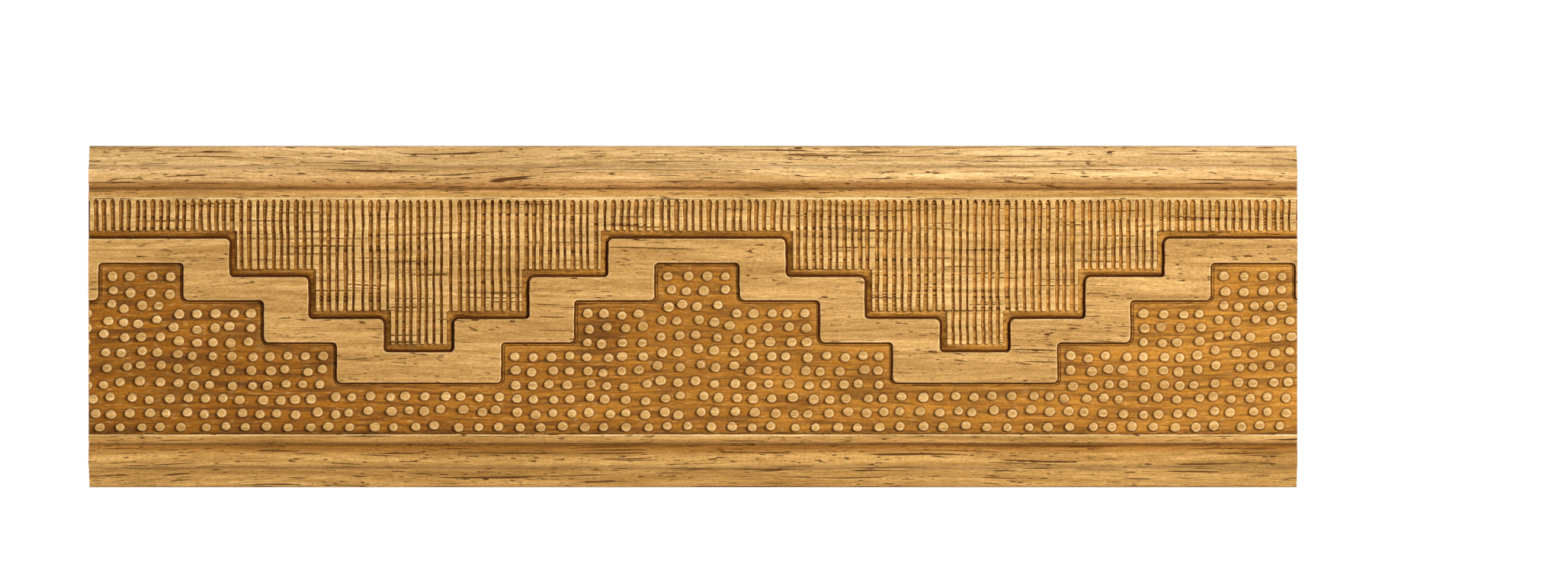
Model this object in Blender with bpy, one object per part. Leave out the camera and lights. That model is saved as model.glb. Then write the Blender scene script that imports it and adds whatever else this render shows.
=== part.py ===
"""Stair-step moulding of pressed wood: one solid strip, cut square at both ends.

Metres, +Z up. The strip runs along X. Its flat back lies in the plane Y = 0 and its
carved face looks along -Y. The origin is the middle of the back.
"""

import math
import random

import bmesh
import bpy
from mathutils import Matrix

MM = 0.001

# The plain strip
LENGTH = 194.3 * MM
HEIGHT = 55.0 * MM
THICKNESS = 8.0 * MM

# Section of each rim, from the outer edge towards the middle: shoulder, cove, bead, V, chamfer
EDGE_THICKNESS = 3.5 * MM
SHOULDER_WIDTH = 0.8 * MM
SHOULDER_RISE = 1.2 * MM
SHOULDER_BOW = 0.22 * MM
COVE_WIDTH = 2.34 * MM
COVE_SAG = 0.08 * MM
BEAD_RADIUS = 1.58 * MM
BEAD_FLANK = 0.65 * MM
V_DEPTH = 1.7 * MM
CHAMFER_WIDTH = 1.5 * MM
CHAMFER_BOW = 0.1 * MM
BEAD_STEPS = 7
BOW_STEPS = 2

# Edges of the stair-step band. A run is the distance from the middle of a notch to a riser,
# as a share of half a repeat. A level is a tread's height, as a share of the field's height.
REPEAT = 89.4 * MM
PEAK_SHIFT = 0.65 * MM
UPPER_RUNS = (0.129, 0.399, 0.683)
UPPER_LEVELS = (0.348, 0.488, 0.665, 0.827)
LOWER_RUNS = (0.294, 0.556, 0.845)
LOWER_LEVELS = (0.223, 0.393, 0.571, 0.729)
CORNER_RADIUS = 0.6 * MM
CORNER_STEPS = 1

# The channels pressed along both edges of the band
UPPER_CHANNEL_WIDTH = 1.35 * MM
LOWER_CHANNEL_WIDTH = 1.1 * MM
CHANNEL_DEPTH = 1.1 * MM

# The reeded field above the band, a reed left standing between each two gouges
GOUGE_WIDTH = 0.72 * MM
GOUGE_DEPTH = 0.7 * MM
GOUGE_RUN_OUT = 0.3 * MM
REED_WIDTH = 0.59 * MM
EDGE_REED_WIDTH = 0.4 * MM
REED_WANDER = 0.2

# The sunk ground below the band, and the pegs left standing in it
GROUND_DEPTH = 0.85 * MM
PEG_DIAMETER = 2.0 * MM
PEG_SIDES = 4
PEG_GAP = 0.95 * MM
PEG_ROW_GAP = 0.28 * MM
FOOT_ROW_GAP = 1.4 * MM
PEG_WANDER_ALONG = 0.3 * MM
PEG_WANDER_ACROSS = 0.2 * MM
PEG_SETTLED_GAP = 0.3 * MM
PEG_LEAST_GAP = 0.1 * MM
PEG_TO_WALL = 0.08 * MM
PEG_LEAST_WIDTH = 0.4 * MM
SETTLING_STEPS = 20

# Flat left standing between the pressed field and the chamfers
FIELD_MARGIN = 0.15 * MM

SEED = 147
OVERCUT = 1.0 * MM
WELD = 0.002 * MM
FLAT_ANGLE = math.radians(0.1)
SHARP_ANGLE = math.radians(30)

WOOD_COLOUR = (0.56, 0.33, 0.14, 1.0)
WOOD_ROUGHNESS = 0.55

BEAD_TO_EDGE = SHOULDER_WIDTH + COVE_WIDTH + BEAD_RADIUS
V_TO_EDGE = BEAD_TO_EDGE + BEAD_RADIUS + BEAD_FLANK
FIELD_TO_EDGE = V_TO_EDGE + CHAMFER_WIDTH
FIELD_HEIGHT = HEIGHT - 2 * FIELD_TO_EDGE
FIELD_TOP = FIELD_HEIGHT / 2
FIELD_FOOT = -FIELD_TOP
HALF_REPEAT = REPEAT / 2
PEG_RADIUS = PEG_DIAMETER / 2
PAST_END = LENGTH / 2 + PEG_DIAMETER + OVERCUT
PEG_CLEARANCE = LOWER_CHANNEL_WIDTH + PEG_TO_WALL + PEG_RADIUS

# Flat outlines are drawn in their own XY plane, then stood up on the face or across the strip
ON_FACE = Matrix.Translation((0, -THICKNESS, 0)) @ Matrix.Rotation(math.radians(90), 4, "X")
ACROSS = Matrix(((0, 0, -1, 0), (-1, 0, 0, 0), (0, 1, 0, 0), (0, 0, 0, 1)))


def clear_scene():
    for thing in list(bpy.data.objects):
        bpy.data.objects.remove(thing, do_unlink=True)


def new_collection(name):
    collection = bpy.data.collections.new(name)
    bpy.context.scene.collection.children.link(collection)
    return collection


def wood():
    material = bpy.data.materials.new("wood")
    material.use_nodes = True
    shader = material.node_tree.nodes["Principled BSDF"]
    shader.inputs["Base Color"].default_value = WOOD_COLOUR
    shader.inputs["Roughness"].default_value = WOOD_ROUGHNESS
    shader.inputs["Metallic"].default_value = 0.0
    return material


def mesh_object(name, shape, collection):
    mesh = bpy.data.meshes.new(name)
    shape.to_mesh(mesh)
    shape.free()
    made = bpy.data.objects.new(name, mesh)
    collection.objects.link(made)
    return made


def slab(name, outline, half_thickness, stand, collection):
    """A flat mesh slab with the given outline, stood up as the stand says."""
    curve = bpy.data.curves.new(name, "CURVE")
    curve.dimensions = "2D"
    curve.fill_mode = "BOTH"
    curve.extrude = half_thickness
    spline = curve.splines.new("POLY")
    spline.points.add(len(outline) - 1)
    for point, (x, y) in zip(spline.points, outline):
        point.co = (x, y, 0.0, 1.0)
    spline.use_cyclic_u = True
    drawn = bpy.data.objects.new(name + "_outline", curve)
    collection.objects.link(drawn)
    drawn.matrix_world = stand
    bpy.context.view_layer.update()
    evaluated = drawn.evaluated_get(bpy.context.evaluated_depsgraph_get())
    filled = bpy.data.meshes.new_from_object(evaluated)
    shape = bmesh.new()
    shape.from_mesh(filled)
    bpy.data.meshes.remove(filled)
    bmesh.ops.remove_doubles(shape, verts=shape.verts, dist=WELD)
    bmesh.ops.dissolve_limit(shape, angle_limit=FLAT_ANGLE, verts=shape.verts, edges=shape.edges)
    bmesh.ops.recalc_face_normals(shape, faces=shape.faces)
    made = mesh_object(name, shape, collection)
    made.matrix_world = drawn.matrix_world
    bpy.data.objects.remove(drawn)
    return made


def bow(start, end, rise):
    """Points of a shallow curve from start to end that stands out by rise on its left side."""
    (x0, y0), (x1, y1) = start, end
    reach = math.dist(start, end)
    points = []
    for i in range(BOW_STEPS + 1):
        t = i / BOW_STEPS
        out = 4 * t * (1 - t) * rise / reach
        points.append((x0 + (x1 - x0) * t - (y1 - y0) * out, y0 + (y1 - y0) * t + (x1 - x0) * out))
    return points


def bead(foot_of_v):
    """Points round the bead, from its outer side over its crest to where it runs into the V."""
    x, y = BEAD_TO_EDGE, THICKNESS - BEAD_RADIUS
    to_v = (foot_of_v[0] - x, foot_of_v[1] - y)
    end = math.atan2(to_v[1], to_v[0]) + math.acos(BEAD_RADIUS / math.hypot(*to_v))
    angles = [math.pi + (end - math.pi) * i / BEAD_STEPS for i in range(BEAD_STEPS + 1)]
    return [(x + BEAD_RADIUS * math.cos(a), y + BEAD_RADIUS * math.sin(a)) for a in angles]


def rim():
    """One rim as (distance from the outer edge, height above the back), up to the flat field."""
    edge = (0.0, EDGE_THICKNESS)
    shoulder = (SHOULDER_WIDTH, EDGE_THICKNESS + SHOULDER_RISE)
    foot_of_v = (V_TO_EDGE, THICKNESS - V_DEPTH)
    arris = (FIELD_TO_EDGE, THICKNESS)
    round_bead = bead(foot_of_v)
    return (
        bow(edge, shoulder, SHOULDER_BOW)
        + bow(shoulder, round_bead[0], -COVE_SAG)[1:-1]
        + round_bead
        + bow(foot_of_v, arris, CHAMFER_BOW)
    )


def section():
    """The whole section as (height above the back, height up the face), both rims alike."""
    top = [(depth, HEIGHT / 2 - inset) for inset, depth in rim()]
    bottom = [(depth, -z) for depth, z in reversed(top)]
    return [(0.0, HEIGHT / 2)] + top + bottom + [(0.0, -HEIGHT / 2)]


def treads(runs, levels, widen=0.0, lift=0.0):
    """Each tread of a stair as (left end, right end, height), from past one end to the other.

    Widen moves every riser away from the middle of its notch, and lift raises every tread.
    """
    repeats = math.ceil(LENGTH / 2 / REPEAT) + 1
    risers = []
    for k in range(-repeats, repeats + 1):
        notch = PEAK_SHIFT + HALF_REPEAT + k * REPEAT
        for i in reversed(range(len(runs))):
            risers.append((notch - runs[i] * HALF_REPEAT - widen, i))
        for i in range(len(runs)):
            risers.append((notch + runs[i] * HALF_REPEAT + widen, i + 1))
    heights = [FIELD_FOOT + level * FIELD_HEIGHT + lift for level in levels]
    return [(x, following[0], heights[i]) for (x, i), following in zip(risers, risers[1:])]


def stair_line(runs, levels, widen=0.0, lift=0.0):
    """Corner points of a stair, from past the strip's left end to past its right end."""
    line = []
    for left, right, height in treads(runs, levels, widen, lift):
        if right > -PAST_END and left < PAST_END:
            line.append((max(left, -PAST_END), height))
            line.append((min(right, PAST_END), height))
    return line


def towards(corner, far, reach):
    """The point that lies at the given reach from a corner, on the way to a far point."""
    share = reach / math.dist(corner, far)
    return (corner[0] + (far[0] - corner[0]) * share, corner[1] + (far[1] - corner[1]) * share)


def rounded(line):
    """The same line with each of its inner corners rounded by the corner radius."""
    eased = [line[0]]
    for before, corner, after in zip(line, line[1:], line[2:]):
        room = min(math.dist(before, corner), math.dist(corner, after)) / 2
        radius = min(CORNER_RADIUS, room)
        start = towards(corner, before, radius)
        end = towards(corner, after, radius)
        centre = (start[0] + end[0] - corner[0], start[1] + end[1] - corner[1])
        first = math.atan2(start[1] - centre[1], start[0] - centre[0])
        last = math.atan2(end[1] - centre[1], end[0] - centre[0])
        turn = math.remainder(last - first, 2 * math.pi)
        for i in range(CORNER_STEPS + 1):
            angle = first + turn * i / CORNER_STEPS
            eased.append((
                centre[0] + radius * math.cos(angle),
                centre[1] + radius * math.sin(angle),
            ))
    return eased + [line[-1]]


def channel(name, runs, levels, width, away, collection):
    """Cutter of the channel along one edge of the band, on its upper side if away is 1."""
    edge = rounded(stair_line(runs, levels))
    far = stair_line(runs, levels, widen=-away * width, lift=away * width)
    return slab(name, edge + far[::-1], CHANNEL_DEPTH, ON_FACE, collection)


def gouge_places():
    """(x, top, foot) of each gouge, spread over each tread of the channel that it opens into."""
    wander = random.Random(SEED)
    inset = EDGE_REED_WIDTH + GOUGE_WIDTH / 2
    stair = treads(UPPER_RUNS, UPPER_LEVELS, -UPPER_CHANNEL_WIDTH, UPPER_CHANNEL_WIDTH)
    places = []
    for left, right, height in stair:
        room = right - left - 2 * inset
        spaces = max(1, round(room / (GOUGE_WIDTH + REED_WIDTH)))
        for i in range(spaces + 1):
            aside = wander.uniform(-REED_WANDER, REED_WANDER) * REED_WIDTH
            x = left + inset + room * i / spaces + aside
            if abs(x) + inset < LENGTH / 2:
                places.append((x, FIELD_TOP - FIELD_MARGIN, height - UPPER_CHANNEL_WIDTH / 2))
    return places


def gouges(collection):
    """Cutter of the gouges: a four-sided bar for each, with one edge down in the wood."""
    shape = bmesh.new()
    for x, top, foot in gouge_places():
        bar = bmesh.ops.create_cone(
            shape, cap_ends=True, segments=4, radius1=1.0, radius2=1.0, depth=top - foot
        )["verts"]
        bmesh.ops.scale(shape, vec=(GOUGE_WIDTH / 2, GOUGE_DEPTH, 1.0), verts=bar)
        bmesh.ops.translate(shape, vec=(x, -THICKNESS, (top + foot) / 2), verts=bar)
        for corner in bar:
            if corner.co.y > GOUGE_DEPTH / 2 - THICKNESS and corner.co.z > (top + foot) / 2:
                corner.co.z -= GOUGE_RUN_OUT
    return mesh_object("gouges", shape, collection)


def clear_of_channel(stair, x, z):
    """The nearest place to (x, z) where a peg stands clear of the channel above and beside it."""
    for left, right, height in stair:
        ceiling = height - PEG_CLEARANCE
        ways_out = (z - ceiling, x - left + PEG_CLEARANCE, right + PEG_CLEARANCE - x)
        if min(ways_out) > 0:
            nearest = ways_out.index(min(ways_out))
            x = (x, left - PEG_CLEARANCE, right + PEG_CLEARANCE)[nearest]
            z = (ceiling, z, z)[nearest]
    return x, z


def peg_rows(stair, foot):
    """Middles of the pegs in rows, each row spread evenly between the walls that bound it."""
    wander = random.Random(SEED)
    row_pitch = PEG_DIAMETER + PEG_ROW_GAP
    heights = [z - PEG_CLEARANCE - foot for _, _, z in stair]
    rows = [1 + int(height / row_pitch) if height > 0 else 0 for height in heights]
    pegs = []
    for row in range(max(rows)):
        pitch = PEG_DIAMETER + (PEG_GAP if row else FOOT_ROW_GAP)
        start = None
        for (left, right, _), count, following in zip(stair, rows, rows[1:] + [0]):
            if count > row and start is None:
                start = left + PEG_CLEARANCE
            if start is not None and following <= row:
                end = right - PEG_CLEARANCE
                spaces = max(1, round((end - start) / pitch))
                for i in range(spaces + 1):
                    x = start + (end - start) * i / spaces
                    here = next(j for j, tread in enumerate(stair) if tread[1] > x)
                    rise = heights[here] / max(1, rows[here] - 1)
                    along = wander.uniform(-PEG_WANDER_ALONG, PEG_WANDER_ALONG)
                    across = wander.uniform(-PEG_WANDER_ACROSS, PEG_WANDER_ACROSS)
                    pegs.append((x + along, foot + rise * row + across))
                start = None
    return [peg for peg in pegs if abs(peg[0]) < PAST_END]


def peg_places():
    """Middles of the pegs, after those that stand too close have been eased apart."""
    stair = treads(LOWER_RUNS, LOWER_LEVELS)
    foot = FIELD_FOOT + FIELD_MARGIN + PEG_TO_WALL + PEG_RADIUS
    settled = PEG_DIAMETER + PEG_SETTLED_GAP
    pegs = peg_rows(stair, foot)
    for _ in range(SETTLING_STEPS):
        for i, (x, z) in enumerate(pegs):
            for other in pegs[:i] + pegs[i + 1:]:
                if abs(other[0] - x) < settled and 0 < math.dist((x, z), other) < settled:
                    push = (settled / math.dist((x, z), other) - 1) / 2
                    x += (x - other[0]) * push
                    z += (z - other[1]) * push
            pegs[i] = clear_of_channel(stair, x, max(foot, z))
    kept = []
    for x, z in sorted(pegs):
        stands = LENGTH / 2 - abs(x) + PEG_RADIUS > PEG_LEAST_WIDTH
        apart = all(math.dist((x, z), other) > PEG_DIAMETER + PEG_LEAST_GAP for other in kept)
        if stands and apart and clear_of_channel(stair, x, z) == (x, z):
            kept.append((x, z))
    return kept


def pegs(collection):
    """A bar for each peg, each turned its own way, long enough to pass through the ground."""
    turns = random.Random(SEED)
    shape = bmesh.new()
    for x, z in peg_places():
        turn = Matrix.Rotation(turns.uniform(0, math.pi), 4, "Z")
        bmesh.ops.create_cone(
            shape, cap_ends=True, segments=PEG_SIDES, radius1=PEG_RADIUS, radius2=PEG_RADIUS,
            depth=2 * (GROUND_DEPTH + OVERCUT), matrix=Matrix.Translation((x, 0, z)) @ ON_FACE @ turn,
        )
    return mesh_object("pegs", shape, collection)


def ground(collection):
    """Cutter of the ground below the band, which leaves the pegs standing."""
    half_way = LOWER_CHANNEL_WIDTH / 2
    edge = stair_line(LOWER_RUNS, LOWER_LEVELS, widen=half_way, lift=-half_way)
    foot = FIELD_FOOT + FIELD_MARGIN
    outline = edge + [(edge[-1][0], foot), (edge[0][0], foot)]
    cutter = slab("ground", outline, GROUND_DEPTH, ON_FACE, collection)
    cut(cutter, pegs(collection))
    return cutter


def cut(body, cutter):
    cutter.hide_render = True
    cutter.display_type = "WIRE"
    modifier = body.modifiers.new(cutter.name, "BOOLEAN")
    modifier.operation = "DIFFERENCE"
    modifier.object = cutter


def smooth_by_angle(body):
    """Last modifier: faces are smooth across every edge that is flatter than the sharp angle."""
    group = bpy.data.node_groups.new("smooth_by_angle", "GeometryNodeTree")
    group.interface.new_socket("Mesh", in_out="INPUT", socket_type="NodeSocketGeometry")
    group.interface.new_socket("Mesh", in_out="OUTPUT", socket_type="NodeSocketGeometry")
    nodes, links = group.nodes, group.links
    arrive = nodes.new("NodeGroupInput")
    leave = nodes.new("NodeGroupOutput")
    bend = nodes.new("GeometryNodeInputMeshEdgeAngle")
    flat = nodes.new("FunctionNodeCompare")
    flat.operation = "LESS_THAN"
    flat.inputs["B"].default_value = SHARP_ANGLE
    edges = nodes.new("GeometryNodeSetShadeSmooth")
    edges.domain = "EDGE"
    links.new(bend.outputs["Unsigned Angle"], flat.inputs["A"])
    links.new(flat.outputs["Result"], edges.inputs["Shade Smooth"])
    links.new(arrive.outputs["Mesh"], edges.inputs["Geometry"])
    links.new(edges.outputs["Geometry"], leave.inputs["Mesh"])
    body.modifiers.new("smooth_by_angle", "NODES").node_group = group


def main():
    clear_scene()
    parts = new_collection("moulding")
    cutters = new_collection("cutters")
    strip = slab("moulding", section(), LENGTH / 2, ACROSS, parts)
    strip.data.materials.append(wood())
    strip.data.shade_smooth()
    cut(strip, gouges(cutters))
    cut(strip, ground(cutters))
    upper = channel("upper_channel", UPPER_RUNS, UPPER_LEVELS, UPPER_CHANNEL_WIDTH, 1, cutters)
    lower = channel("lower_channel", LOWER_RUNS, LOWER_LEVELS, LOWER_CHANNEL_WIDTH, -1, cutters)
    cut(strip, upper)
    cut(strip, lower)
    smooth_by_angle(strip)


main()
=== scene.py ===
"""Stair-step wooden moulding: the finely pressed strip, its wood, and the stage it is seen on.

Metres, +Z up. The strip runs along X, its back lies in the plane Y = 0 and its carved face
looks along -Y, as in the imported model.
"""

import math
import random
from types import SimpleNamespace

import bmesh
import bpy
from bpy.props import FloatProperty, FloatVectorProperty, PointerProperty
from mathutils import Matrix, Vector, noise


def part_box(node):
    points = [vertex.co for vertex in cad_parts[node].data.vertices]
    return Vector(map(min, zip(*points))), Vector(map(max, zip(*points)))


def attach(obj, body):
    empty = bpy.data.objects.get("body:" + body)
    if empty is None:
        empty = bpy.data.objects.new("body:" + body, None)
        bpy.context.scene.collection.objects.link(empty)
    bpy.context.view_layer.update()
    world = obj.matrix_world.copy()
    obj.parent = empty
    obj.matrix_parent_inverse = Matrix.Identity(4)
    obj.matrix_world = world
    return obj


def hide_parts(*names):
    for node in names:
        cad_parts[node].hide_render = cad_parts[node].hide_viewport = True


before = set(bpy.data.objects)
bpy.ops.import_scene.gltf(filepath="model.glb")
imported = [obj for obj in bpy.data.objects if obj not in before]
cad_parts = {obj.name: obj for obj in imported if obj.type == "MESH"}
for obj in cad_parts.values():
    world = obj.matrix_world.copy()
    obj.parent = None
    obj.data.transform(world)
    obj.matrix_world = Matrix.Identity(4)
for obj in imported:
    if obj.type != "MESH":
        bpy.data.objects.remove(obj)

bl_info = {
    "name": "Stair-step wooden moulding",
    "version": (1, 0, 0),
    "blender": (4, 5, 0),
    "location": "3D View > Sidebar > Moulding",
    "description": "Makes a strip of pressed wooden moulding, its wood finish and its stage",
    "category": "Object",
}

MM = 0.001
STRIP_NODE = "moulding"
CAD_LOW, CAD_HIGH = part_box(STRIP_NODE)
CAD_SIZE = CAD_HIGH - CAD_LOW

# The layout of the pattern, drawn with the same numbers as the solid
SEED = 147
OVERCUT = 1.0 * MM
REED_WANDER = 0.2
PEG_WANDER_ALONG = 0.3 * MM
PEG_WANDER_ACROSS = 0.2 * MM
PEG_SETTLED_GAP = 0.3 * MM
PEG_LEAST_GAP = 0.1 * MM
PEG_TO_WALL = 0.08 * MM
PEG_LEAST_WIDTH = 0.4 * MM
SETTLING_STEPS = 20

# How finely the outlines are followed
BEAD_STEPS = 16
BOW_STEPS = 4
CORNER_STEPS = 4
REED_END_STEPS = 2
RIM_STATION = 4.0 * MM
BAND_STATION = 0.6 * MM
FOOT_STATION = 1.5 * MM
SLOT_STATION = 0.9 * MM
PEG_SEGMENTS = 12

# Corner radii of the band's edge where it stands out and where it is cut in, and of a reed's end
BAND_OUTER_RADIUS = 0.7 * MM
BAND_INNER_RADIUS = 0.75 * MM
REED_END_RADIUS = 0.2 * MM

# How far the hand-cut die wanders from its lines, and over what length
WAVER_SLICE = 0.37
EDGE_WAVER = 0.09 * MM
EDGE_WAVER_LENGTH = 1.4 * MM
TREAD_WAVER = 0.03 * MM
FOOT_WAVER = 0.05 * MM
FOOT_WAVER_LENGTH = 2.4 * MM
SLOT_DRIFT = 0.11 * MM
SLOT_DRIFT_LENGTH = 4.5 * MM
SLOT_WAVER = 0.1 * MM
SLOT_WAVER_LENGTH = 2.1 * MM
SLOT_SIDES_APART = 3
SLOT_NARROWEST = 0.7
SLOT_WIDEST = 1.45
LEAST_REED = 0.3 * MM
REED_END_SCATTER = 0.1 * MM
TIP_SCATTER = 0.06 * MM

# The bulb and the pointed tip at the top of each gouge
BULB_SWELL = 0.14
BULB_BELOW_TIP = 0.9 * MM
BULB_LENGTH = 0.8 * MM
TIP_LENGTH = 0.5 * MM
TIP_SHOULDER = 0.66
TIP_SHOULDER_DROP = 0.2 * MM
TIP_MARGIN = 0.12 * MM
FOOT_MARGIN = 0.1 * MM

# Walls, from the flat top down: (way out into the hollow, depth, burn, lit edge). The lit edge is
# a painted highlight along the top of each wall
FLOOR_DEPTH = 0.8 * MM
BAND_WALL = (
    (-0.13 * MM, 0.0, 0.0, 0.0),
    (-0.04 * MM, 0.01 * MM, 0.0, 1.0),
    (0.02 * MM, 0.08 * MM, 0.2, 0.8),
    (0.08 * MM, 0.36 * MM, 0.5, 0.0),
)
UPPER_BAND_WALL = BAND_WALL + (
    (0.14 * MM, 0.80 * MM, 0.95, 0.0),
    (0.25 * MM, 1.10 * MM, 1.0, 0.0),
    (0.42 * MM, 1.12 * MM, 1.0, 0.0),
    (0.56 * MM, 1.00 * MM, 0.4, 0.0),
)
LOWER_BAND_WALL = BAND_WALL + (
    (0.15 * MM, 0.80 * MM, 0.9, 0.0),
    (0.28 * MM, 1.08 * MM, 1.0, 0.0),
    (0.36 * MM, 0.94 * MM, 0.36, 0.0),
    (0.48 * MM, 0.92 * MM, 0.4, 0.0),
    (0.58 * MM, 0.98 * MM, 0.95, 0.0),
    (0.70 * MM, FLOOR_DEPTH, 0.36, 0.0),
)
SLOT_WALL = (
    (-0.05 * MM, 0.0, 0.0, 0.0),
    (-0.01 * MM, 0.005 * MM, 0.0, 0.8),
    (0.03 * MM, 0.08 * MM, 0.2, 0.4),
    (0.10 * MM, 0.36 * MM, 0.6, 0.0),
    (0.20 * MM, 0.60 * MM, 0.36, 0.0),
)
# The dark ring at each peg's foot is partly the die's burn and partly painted shade round the peg
PEG_WALL = (
    (-0.14 * MM, 0.0, 0.0, 0.0),
    (-0.05 * MM, 0.01 * MM, 0.0, 1.0),
    (0.03 * MM, 0.12 * MM, 0.12, 0.9),
    (0.14 * MM, 0.42 * MM, 0.24, 0.1),
    (0.26 * MM, 0.70 * MM, 0.28, 0.0),
    (0.33 * MM, 0.84 * MM, 0.95, 0.0),
    (0.42 * MM, FLOOR_DEPTH, 0.5, 0.0),
)
FOOT_WALL = (
    (0.0, 0.0, 0.0, 0.8),
    (0.02 * MM, 0.10 * MM, 0.4, 0.0),
    (0.06 * MM, 0.50 * MM, 0.8, 0.0),
    (0.10 * MM, FLOOR_DEPTH, 0.8, 0.0),
)

# How far the pegs stray from their rows and differ from each other
PEG_STRAY_ALONG = 0.3 * MM
PEG_STRAY_ACROSS = 0.22 * MM
STRAYING_STEPS = 3
PEG_TOP_RADIUS = 0.68 * MM
PEG_OUTER_RADIUS = PEG_TOP_RADIUS + PEG_WALL[-1][0]
PEG_SIZES = (0.82, 1.06)
PEG_UNEVEN = 0.16
PEG_UNEVEN_SCALE = 1.3
PEG_UNEVEN_SPAN = 100
PEG_STRETCH = 0.17
PEG_LEAN = 0.22
PEG_LEAST_TONE = 0.15
PEG_SUNK = 0.1 * MM
PEG_SPARE = 0.02 * MM

# Streaks of the grain: their length, width and detail, and where a mask of them starts and is full
STREAK_SETTINGS = ("Streak Length", "Streak Width", "Detail", "Mask From", "Mask To")
STREAK_ROUGHNESS = 0.55
DRIFT_STREAKS = (60 * MM, 16 * MM, 1.0)
NICK_STREAKS = (18 * MM, 0.40 * MM, 1.0, 0.645, 0.67)
NOISES = {
    "broad": (80 * MM, 3.4 * MM, 2.0),
    "medium": (22 * MM, 0.8 * MM, 2.0),
    "fine": (3.2 * MM, 0.14 * MM, 3.0),
    "speck": (0.5 * MM, 0.26 * MM, 2.0),
}
MASKS = {
    "sown": (12 * MM, 2.2 * MM, 1.0, 0.42, 0.54),
    "pores": (2.0 * MM, 0.26 * MM, 1.0, 0.655, 0.68),
    "checks": (15 * MM, 0.42 * MM, 1.0, 0.70, 0.72),
    "splits": (22 * MM, 0.38 * MM, 1.0, 0.66, 0.69),
    "smoke": (11 * MM, 0.8 * MM, 4.0, 0.46, 0.62),
    "ridges": (1.5 * MM, 0.45 * MM, 2.0, 0.52, 0.68),
}

# Where the finish changes along the V grooves, the arrises and the field, and how far the painted
# shade by the V grooves and the painted highlight on the arrises reach
RIM_FROM_V = 0.1 * MM
RIM_PAST_V = 0.3 * MM
FIELD_BLEND = 0.1 * MM
V_LINE_EDGES = (0.34 * MM, 0.12 * MM)
V_SHADE_REACH = 2.0 * MM
ARRIS_HIGHLIGHT_EDGES = (0.17 * MM, 0.03 * MM)

# How strongly each part of the finish shows, the painted shade by the V grooves and the painted
# edge highlight among them
V_LINE_SHARE = 0.58
V_SHADE_SHARE = 0.7
EDGE_HIGHLIGHT_SHARE = 0.8
PEG_PALENESS = 0.8
BURN_TOASTED = 0.5
RIDGE_SHARE = 0.5
SMOKE_ON_REEDS = 0.3
SMOKE_THINNING = (0.3, 1.0, 0.75, 0.6)
PORES_ON_RIM = 0.35
PORES_ON_REEDS = 0.35
MARK_SHARE = 0.95

# How far the grain darkens and lightens the wood, and the range of its noise that does so
BROAD_SPREAD = (0.3, 0.7)
BROAD_ON_FIELD = (0.88, 1.07)
BROAD_ON_RIM = (0.78, 1.13)
REED_PALENESS = 1.18
SHADE_SPREAD = (0.28, 0.72)
SHADES = (("medium", 0.78, 1.12), ("fine", 0.80, 1.16), ("speck", 0.88, 1.14))
SHADE_POWERS = (1.0, 1.25, 1.8)

# The surface: its shine, and how far marks sink and ridges rise against the fine grain
ROUGH_SPREAD = (0.2, 0.8)
ROUGHNESS = (0.48, 0.66)
SPECULAR = 0.12
MARK_RISE = -1.5
RIDGE_RISE = 2.0

# The stage. A lamp has its place, its diameter and its power in watts
FLOOR_SIZE = 5.0
FLOOR_DROP = 0.13
FLOOR_ROUGHNESS = 0.8
KEY_LIGHT = ((0.56, -0.88, 0.28), 0.25, 9.8)
BACK_LIGHT = ((-0.42, 0.90, 0.44), 0.6, 9.0)
SKY_LIGHT = 0.34
SKY_SEEN = 1.0
NEAREST_SEEN = 0.01

# Spacing of the shader nodes in their editor
COLUMN_WIDTH = 190
ROW_HEIGHT = 210

# Layers of the mesh: those it is built with, and those that the finish reads
PLACE_LAYERS = ("home", "way")
WORN_LAYER = "worn"
FINISH_LAYERS = ("burn", "lit_edge", "tone", "reeded")

# Distances and angles that the mesh is judged and joined by
NEAR = 0.01 * MM
WELD = 0.00001 * MM
LEAST_EDGE = 0.003 * MM
SHARP_ANGLE = math.radians(30)
SHARP_TURN = math.radians(60)
LEAST_MITRE = 0.5


def length(name, description, default):
    """A size in metres, shown in the scene's unit of length."""
    return FloatProperty(
        name=name, description=description, default=default, min=0.0, unit="LENGTH", precision=4
    )


def shares(name, description, default, **settings):
    """Several numbers from 0 to 1, such as shares of a length."""
    return FloatVectorProperty(
        name=name, description=description, default=default, min=0.0, max=1.0,
        size=len(default), precision=3, **settings,
    )


def colour(name, description, default):
    """A colour of the finish, as linear red, green and blue."""
    return shares(name, description, default, subtype="COLOR")


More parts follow.
